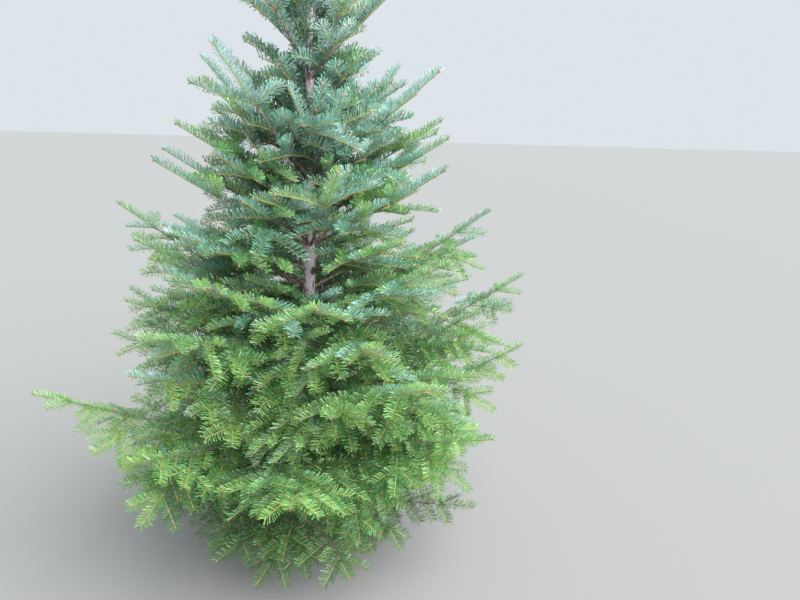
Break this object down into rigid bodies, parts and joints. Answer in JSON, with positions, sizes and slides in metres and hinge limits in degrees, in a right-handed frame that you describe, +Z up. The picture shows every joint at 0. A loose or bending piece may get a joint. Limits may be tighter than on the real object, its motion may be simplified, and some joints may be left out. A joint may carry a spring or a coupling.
{
  "type": "rooted fir christmas tree",
  "caption": "Young fir grown as a Christmas tree and rooted in level ground: leaning tapered trunk, whorls of rising boughs and masses of flat needles in a conical crown.",
  "frame": {"origin": "centre of the flat cut under the trunk, at ground level", "axes": "+Z up, -Y towards the front of the tree, +X towards its right as seen from the front"},
  "size_m": [1.585, 1.3637, 2.35],
  "materials": {
    "trunk_bark": "smooth pale grey-brown bark, darker and rougher low down",
    "bough_bark": "grey-brown bark, yellowish on young twigs",
    "foliage": "glossy dark green needles, blue-green higher up and silvery below"
  },
  "bodies": {
    "root": {"trunk": "trunk_bark", "bough_whorl1_1": "bough_bark", "foliage_whorl1_1": "foliage", "bough_whorl1_2": "bough_bark", "foliage_whorl1_2": "foliage", "bough_whorl1_3": "bough_bark", "foliage_whorl1_3": "foliage", "bough_whorl1_4": "bough_bark", "foliage_whorl1_4": "foliage", "bough_whorl1_5": "bough_bark", "foliage_whorl1_5": "foliage", "bough_whorl2_1": "bough_bark", "foliage_whorl2_1": "foliage", "bough_whorl2_2": "bough_bark", "foliage_whorl2_2": "foliage", "bough_whorl2_3": "bough_bark", "foliage_whorl2_3": "foliage", "bough_whorl2_4": "bough_bark", "foliage_whorl2_4": "foliage", "bough_whorl2_5": "bough_bark", "foliage_whorl2_5": "foliage", "bough_whorl3_1": "bough_bark", "foliage_whorl3_1": "foliage", "bough_whorl3_2": "bough_bark", "foliage_whorl3_2": "foliage", "bough_whorl3_3": "bough_bark", "foliage_whorl3_3": "foliage", "bough_whorl3_4": "bough_bark", "foliage_whorl3_4": "foliage", "bough_whorl3_5": "bough_bark", "foliage_whorl3_5": "foliage", "bough_whorl4_1": "bough_bark", "foliage_whorl4_1": "foliage", "bough_whorl4_2": "bough_bark", "foliage_whorl4_2": "foliage", "bough_whorl4_3": "bough_bark", "foliage_whorl4_3": "foliage", "bough_whorl4_4": "bough_bark", "foliage_whorl4_4": "foliage", "bough_whorl4_5": "bough_bark", "foliage_whorl4_5": "foliage", "foliage_whorl5_1": "foliage", "foliage_whorl5_2": "foliage", "foliage_whorl5_3": "foliage", "foliage_whorl5_4": "foliage", "foliage_whorl5_5": "foliage", "foliage_whorl6_1": "foliage", "foliage_whorl6_2": "foliage", "foliage_whorl6_3": "foliage", "foliage_whorl6_4": "foliage", "foliage_whorl6_5": "foliage", "foliage_whorl7_1": "foliage", "foliage_whorl7_2": "foliage", "foliage_whorl7_3": "foliage", "foliage_whorl7_4": "foliage", "foliage_whorl8_1": "foliage", "foliage_whorl8_2": "foliage", "foliage_whorl8_3": "foliage", "foliage_whorl8_4": "foliage", "foliage_leader": "foliage"}
  },
  "joints": []
}
